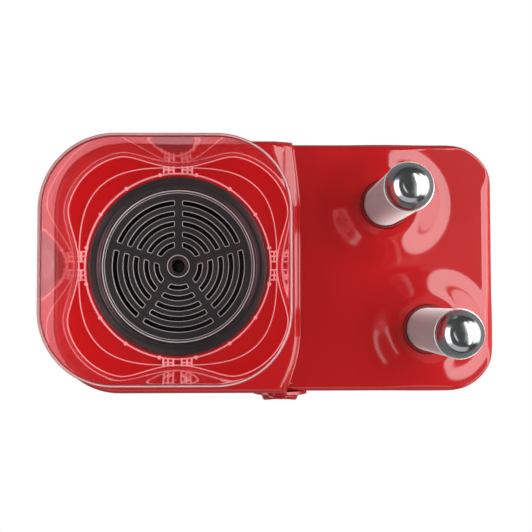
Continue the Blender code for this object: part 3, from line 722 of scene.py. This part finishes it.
turned("plate_hub", [(HUB_HOLE_R, zt - 1.0), (HUB_R + 0.2, zt - 1.0), (HUB_R - 0.1, zt + 0.2), (HUB_R - 0.9, zt + 1.1), (HUB_HOLE_R + 1.5, zt + 1.1), (HUB_HOLE_R, zt + 0.1)], 64, PC, PLATE, "steam_plate", rad=0.5)
turned("plate_hub_bead", [(HUB_R - 0.9, zt + 0.9), (HUB_R - 0.2, zt + 0.9), (HUB_R - 0.4, zt + 1.25), (HUB_R - 0.7, zt + 1.25)], 64, PC, PLATE_EDGE_HIGHLIGHT, "steam_plate", rad=0.15)
turned("plate_rim_bead", [(59.0, zt - 0.6), (60.15, zt - 0.6), (60.1, zt + 0.35), (59.7, zt + 0.6), (59.3, zt + 0.35)], 144, PC, PLATE_EDGE_HIGHLIGHT, "steam_plate", rad=0.25)
turned("plate_inner_bead", [(57.6, zt - 0.5), (58.2, zt - 0.5), (58.1, zt + 0.18), (57.7, zt + 0.18)], 144, PC, PLATE_EDGE_HIGHLIGHT, "steam_plate", rad=0.1)

# ================================================================ spikes
for key, (cx, cy) in SPIKES.items():
    c = (cx, cy, 0)
    ri = SPIKE_R - SPIKE_T
    n = 96
    prof = [(14.9, SPIKE_Z0), (22.5, SPIKE_Z0), (22.5, SPIKE_Z0 + 1.4), (SPIKE_R + 0.4, SPIKE_Z0 + 1.6), (SPIKE_R, SPIKE_Z0 + 2.4)]
    zz = 12
    prof += [(SPIKE_R, SPIKE_Z0 + 2.4 + (SPIKE_Z1 - SPIKE_Z0 - 4.0) * i / zz) for i in range(1, zz + 1)]
    side_rows = len(prof)
    # rolled bead where the polished cap meets the sleeve; its near-white colour is a painted highlight
    for i in range(9):
        a = math.radians(-80 + 160 * i / 8)
        prof.append((SPIKE_R - 0.35 + 0.75 * math.cos(a), SPIKE_Z1 - 0.9 + 0.75 * math.sin(a)))
    bead_rows = len(prof)
    prof.append((SPIKE_R - 0.75, SPIKE_Z1 - 0.1))
    for i in range(1, 24):
        t = math.radians(90.0 * i / 24)
        prof.append(((SPIKE_R - 0.55) * math.cos(t), SPIKE_Z1 + 0.1 + (SPIKE_R - 0.1) * math.sin(t)))
    prof.append((0, SPIKE_Z1 + SPIKE_R))
    outer_rows = len(prof)
    inner = [(0, SPIKE_Z1 + ri)]
    for i in range(7, 0, -1):
        t = math.radians(90.0 * i / 8)
        inner.append((ri * math.cos(t), SPIKE_Z1 + ri * math.sin(t)))
    inner += [(ri, SPIKE_Z1), (ri, SPIKE_Z0 + 1.0)]
    v, f = lathe(prof, n, c)
    count = [n] * (side_rows - 1)
    mid = [0] * (n * (side_rows - 1)) + [2] * (n * (bead_rows - side_rows)) + [1] * (len(f) - n * (bead_rows - 1))
    v2, f2 = lathe(inner, n, c)
    s = len(v)
    v = v + v2
    mid += [0] * len(f2)
    f = f + [tuple(i + s for i in t) for t in f2]
    first, lastrow = list(range(0, n)), list(range(len(v) - n, len(v)))
    for i in range(n):
        k = (i + 1) % n
        f.append((first[i], first[k], lastrow[k], lastrow[i]))
        mid.append(0)
    obj_from("bun_spike_" + key, v, f, [SATIN, CHROME, BEAD_HIGHLIGHT], "base", ["spike_" + key], sharp=50, midx=mid)
    turned("collar_" + key, [(17.4, 52.0), (19.6, 52.0), (19.6, 67.2), (19.2, 68.1), (17.7, 68.1), (17.4, 67.6)], 96, c, COLLAR, "base", ["spike_collar_" + key], rad=0.35)

# ================================================================ knob and bezel
KC = (KNOB_X, 0, KNOB_Z)
turned("bezel", [(6.0, 100.3), (BEZEL_R, 100.3), (BEZEL_R, 102.9, 0.3), (BEZEL_R - 0.3, 103.2, 0.3), (16.2, 103.2), (15.6, 102.5), (6.0, 102.5)], 96, KC, RED, "base", ["knob_bezel"], rad=0.4, axis="Y")


def knob():
    prof = [(0.0, 104.0), (3.3, 104.0), (KNOB_R0 - 0.5, 104.0), (KNOB_R0, 104.4), (KNOB_R0 - 0.1, 105.2), (KNOB_R0 - 0.7, 106.6), (KNOB_R1 + 0.3, 107.7), (KNOB_R1, 108.2), (KNOB_R1 - 0.4, 108.5)]
    n = 96
    rings = [(KNOB_R1 - 0.4) * i / 14 for i in range(13, 0, -1)]
    prof += [(r, 108.5) for r in rings] + [(0, 108.5)]
    v, f = lathe(prof, n, KC, axis="Y")
    out = []
    for x, y, z in v:
        dx = x - KNOB_X
        if y < -107.0:      # finger scoop, a shallow trough that runs top to bottom
            k = min(1.0, (-107.0 - y) / 1.2)
            y += k * (1.7 - dx * dx / (2 * 52.0)) if abs(dx) < 13.3 else 0.0
            # pointer ridge towards the top of the face
            if z > KNOB_Z + 3.0 and abs(dx) < 0.9 and z < KNOB_Z + 11.5:
                y -= 0.45 * k
        out.append((x, y, z))
    return obj_from("knob_cap", out, f, RED, "knob", ["control_knob"], sharp=40)


knob()

# ================================================================ feet, gland
for nm, (x, y) in {"rear_left": (-140.0, 58.0), "front_left": (-140.0, -58.0), "rear_right": (150.0, 50.0), "front_right": (150.0, -50.0)}.items():
    v, f = lathe([(0, 0), (4.0, 0), (7.6, 0.0), (8.3, 0.25), (8.7, 0.8), (9.2, 3.2), (9.6, 4.9), (9.4, 5.3), (2.6, 5.3), (2.6, 8.8), (2.2, 9.3), (0, 9.4)], 48, (x, y, 0))
    obj_from("pad_" + nm, v, f, RUBBER, "base", ["foot_" + nm], sharp=40)
turned("gland", [(3.4, -94.0), (5.9, -94.0), (5.9, -100.3), (8.4, -100.3), (8.4, -102.0), (7.2, -102.6), (6.6, -103.0), (5.9, -104.4), (3.4, -104.4)], 48, (GLAND_X, 0, GLAND_Z), BLACK, "base", ["cord_gland"], rad=0.4, axis="Y")


# ================================================================ clear container
def container_loop(half, flute, inset, seg=26, side=44):
    r = CONT_R * half / CONT_BASE
    c = half - r
    pts = []
    for q in range(4):
        ca, sa = math.cos(math.radians(q * 90)), math.sin(math.radians(q * 90))
        row = [(half, -c + 2 * c * i / side) for i in range(side + 1)]
        for i in range(1, seg):
            a = math.radians(90.0 * i / seg)
            row.append((c + r * math.cos(a), c + r * math.sin(a)))
        for x, y in row:
            w = 0.0
            if x >= abs(y) and abs(y) < 50:
                w = math.cos(math.pi * y / 100.0) ** 2
                x -= flute * w
            elif y > abs(x) and abs(x) < 50:
                w = math.cos(math.pi * x / 100.0) ** 2
                y -= flute * w
            pts.append((x * ca - y * sa, x * sa + y * ca))
    out = []
    m = len(pts)
    for i in range(m):
        ax, ay = pts[i - 1]
        bx, by = pts[(i + 1) % m]
        nx, ny = (by - ay), -(bx - ax)
        k = math.hypot(nx, ny)
        out.append((PAN_X + pts[i][0] - inset * nx / k, pts[i][1] - inset * ny / k))
    return out


def container_ring(h, inset):
    return container_loop(CONT_BASE + (CONT_RIM - CONT_BASE) * h, FLUTE * (1 - h) ** 1.4, inset)


def container():
    zspan = CONT_Z1 - CONT_Z0
    er = 0.9
    out = []
    for ins, up in [(er * (1 - math.sin(t)), er * (1 - math.cos(t))) for t in [math.pi / 2 * i / 4 for i in range(5)]]:
        out.append((up / zspan, ins))                      # bottom outer edge
    out += [(i / 22, 0.0) for i in range(1, 22)]
    for ins, up in [(er * (1 - math.cos(t)), er * math.sin(t)) for t in [math.pi / 2 * i / 4 for i in range(5)]]:
        out.append((1 - (er - up) / zspan, ins))           # rim outer edge
    for ins, up in [(CONT_T - er * (1 - math.cos(t)), er * math.sin(t)) for t in [math.pi / 2 * i / 4 for i in range(4, -1, -1)]]:
        out.append((1 - (er - up) / zspan, ins))
    out += [(i / 22, CONT_T) for i in range(21, 0, -1)]
    for ins, up in [(CONT_T - er * (1 - math.sin(t)), er * (1 - math.cos(t))) for t in [math.pi / 2 * i / 4 for i in range(4, -1, -1)]]:
        out.append((up / zspan, ins))
    verts, faces, mid = [], [], []
    for h, ins in out:
        z = CONT_Z0 + zspan * h
        verts += [(x, y, z) for x, y in container_ring(h, ins)]
    m = len(container_ring(0, 0))
    for j in range(len(out)):
        for i in range(m):
            a, b = j * m + i, j * m + (i + 1) % m
            k = (j + 1) % len(out)
            faces.append((a, b, k * m + (i + 1) % m, k * m + i))
            up = (out[j][0] + out[k][0]) / 2 * zspan
            # the wall's bottom and topmost rows take the painted-highlight material
            mid.append(1 if up < 0.75 or up > zspan - 0.10 else 0)
    return obj_from("clear_wall", verts, faces, [CLEAR, CLEAR_EDGE_HIGHLIGHT], "container", ["container_wall"], sharp=60, midx=mid)


container()


def rotated(parts, ang):
    ca, sa = math.cos(math.radians(ang)), math.sin(math.radians(ang))
    v, f = parts
    return [(PAN_X + x * ca - y * sa, x * sa + y * ca, z) for x, y, z in v], f


def cuboid(x0, x1, y0, y1, z0, z1, t=0.0):
    v = [(x0, y0, z0), (x1, y0, z0), (x1, y1, z0), (x0, y1, z0), (x0 + t, y0 + t, z1), (x1 - t, y0 + t, z1), (x1 - t, y1 - t, z1), (x0 + t, y1 - t, z1)]
    return v, [(3, 2, 1, 0), (4, 5, 6, 7), (0, 1, 5, 4), (1, 2, 6, 5), (2, 3, 7, 6), (3, 0, 4, 7)]


def tray():
    loop = container_loop(CONT_BASE, FLUTE, CONT_T + 0.75)
    v, f = prism([loop, circle(PAN_X, 0, 72.0, 128)], CONT_Z0, CONT_Z0 + 2.0)
    ob = obj_from("clear_tray", v, f, CLEAR_TRAY, "container", ["container_tray"], sharp=40)
    bevel(ob, 0.5, 3, 40)
    # the lip round the boiler, with a small flat every 22.5 degrees
    path = []
    for i in range(256):
        a = 2 * math.pi * i / 256
        path.append((PAN_X + 72.6 * math.cos(a), 72.6 * math.sin(a), 0.0))
    sec = rounded([(-0.7, 77.2), (0.7, 77.2), (0.5, 80.0), (-0.5, 80.0)], 0.3, 3)
    v, f = sweep(path, sec)
    obj_from("tray_lip", v, f, CLEAR_EDGE_HIGHLIGHT, "container", sharp=50)
    # bead that follows the foot of the wall
    path = [(x, y, 0.0) for x, y in container_loop(CONT_BASE, FLUTE, CONT_T + 1.75)]
    v, f = sweep(path, rounded([(-0.5, 77.2), (0.5, 77.2), (0.38, 78.8), (-0.38, 78.8)], 0.25, 3))
    obj_from("tray_foot_bead", v, f, CLEAR_EDGE_HIGHLIGHT, "container", sharp=50)
    # rib from clip to clip: a rounded square with full sides
    path = []
    for i in range(280):
        a = 2 * math.pi * i / 280
        n = 3.1
        ca, sa = math.cos(a), math.sin(a)
        r = 77.3 / (abs(ca) ** n + abs(sa) ** n) ** (1 / n)
        path.append((PAN_X + r * ca, r * sa, 0.0))
    v, f = sweep(path, rounded([(-0.45, 77.3), (0.45, 77.3), (0.34, 78.6), (-0.34, 78.6)], 0.22, 3))
    obj_from("tray_rib", v, f, CLEAR_EDGE_HIGHLIGHT, "container", sharp=50)
    parts = []
    for q in range(4):
        for s in (-1, 1):
            for y in (3.3, 7.4, 11.0):
                parts.append(rotated(cuboid(71.6, 78.0, s * y - 0.65, s * y + 0.65, 77.3, 83.3, 0.15), q * 90))
            parts.append(rotated(cuboid(74.6, 75.8, min(s * 3.0, s * 11.4), max(s * 3.0, s * 11.4), 77.3, 82.2, 0.1), q * 90))
    for i in range(16):
        a = i * 22.5 + 11.25
        if min(abs((a % 90) - 0), abs((a % 90) - 90)) < 9:
            continue
        parts.append(rotated(cuboid(71.2, 74.2, -1.1, 1.1, 79.2, 80.6, 0.25), a))
    v, f = join(*parts)
    ob = obj_from("tray_clips", v, f, CLEAR_EDGE_HIGHLIGHT, "container", sharp=30)
    bevel(ob, 0.2, 2, 40)
    parts = []
    for q in range(4):
        for s in (-1, 1):
            for y in (3.3, 7.4):
                parts.append(rotated(cuboid(82.4, 86.8, s * y - 0.6, s * y + 0.6, 76.0, 82.5, 0.2), q * 90))
    v, f = join(*parts)
    ob = obj_from("wall_latches", v, f, CLEAR_EDGE_HIGHLIGHT, "container", sharp=30)
    bevel(ob, 0.2, 2, 40)


tray()


# ================================================================ stage and light
def stage():
    me = bpy.data.meshes.new("floor")
    s = 40.0
    me.from_pydata([(-s, -s, 0), (s, -s, 0), (s, s, 0), (-s, s, 0)], [], [(0, 1, 2, 3)])
    fl = bpy.data.objects.new("floor", me)
    bpy.context.scene.collection.objects.link(fl)
    m, nt, p = nodes_of("pale_floor")
    p.inputs["Base Color"].default_value = (0.9, 0.9, 0.9, 1)
    p.inputs["Roughness"].default_value = 0.9
    p.inputs["Base Color"].default_value = (0.22, 0.22, 0.22, 1)
    em = nt.nodes.new("ShaderNodeEmission")
    lp = nt.nodes.new("ShaderNodeLightPath")
    mx = nt.nodes.new("ShaderNodeMixShader")
    either = nt.nodes.new("ShaderNodeMath")
    either.operation = "MAXIMUM"
    link(nt, lp.outputs["Is Camera Ray"], either.inputs[0])
    link(nt, lp.outputs["Is Transmission Ray"], either.inputs[1])
    link(nt, either.outputs[0], mx.inputs[0])
    link(nt, p.outputs["BSDF"], mx.inputs[1])
    link(nt, em.outputs["Emission"], mx.inputs[2])
    link(nt, mx.outputs[0], nt.nodes["Material Output"].inputs["Surface"])
    me.materials.append(m)
    w = bpy.data.worlds.new("world")
    bpy.context.scene.world = w
    w.use_nodes = True
    w.node_tree.nodes["Background"].inputs["Color"].default_value = (1, 1, 1, 1)
    w.node_tree.nodes["Background"].inputs["Strength"].default_value = 0.12


def area(name, loc, target, sx, sy, power, spread=180.0, shape="RECTANGLE"):
    ld = bpy.data.lights.new(name, "AREA")
    ld.shape = shape
    ld.size, ld.size_y = sx, sy
    ld.energy = power
    ld.spread = math.radians(spread)
    ob = bpy.data.objects.new(name, ld)
    bpy.context.scene.collection.objects.link(ob)
    ob.location = loc
    d = Vector(target) - Vector(loc)
    ob.rotation_euler = d.to_track_quat("-Z", "Y").to_euler()
    return ob


stage()
def panel(name, direction, dist, along, across, radiance, target=(0.03, 0.0, 0.07), shape="RECTANGLE"):
    """A soft panel of a given radiance: direction is (azimuth from +X, angle off the vertical)."""
    az, off = math.radians(direction[0]), math.radians(direction[1])
    d = Vector((math.sin(off) * math.cos(az), math.sin(off) * math.sin(az), math.cos(off)))
    loc = Vector(target) + d * dist
    fill = 1.0 if shape == "RECTANGLE" else math.pi / 4
    return area(name, loc, target, along, across, radiance * math.pi * along * across * fill, shape=shape)


# a tall softbox along the right-hand side in three bands, a faint glow above it, a low panel and a dim strip on the
# left, and a low panel at the front
panel("key_right", (10, 38), 1.15, 2.7, 0.46, 4.6, shape="ELLIPSE")
panel("key_mid", (8, 63), 1.15, 1.9, 0.56, 3.9, shape="ELLIPSE")
panel("left_low", (188, 69), 1.2, 1.6, 0.60, 3.0)
panel("front_low", (-98, 72), 1.2, 1.6, 0.55, 0.8)
panel("glow_above", (0, 21), 1.15, 1.3, 0.26, 0.36)
panel("left_strip", (207, 31), 1.2, 0.85, 0.10, 1.9)
panel("key_low", (4, 84), 1.25, 1.5, 0.45, 2.6, (0.03, 0.0, 0.10))
bpy.context.scene.view_settings.view_transform = "Standard"
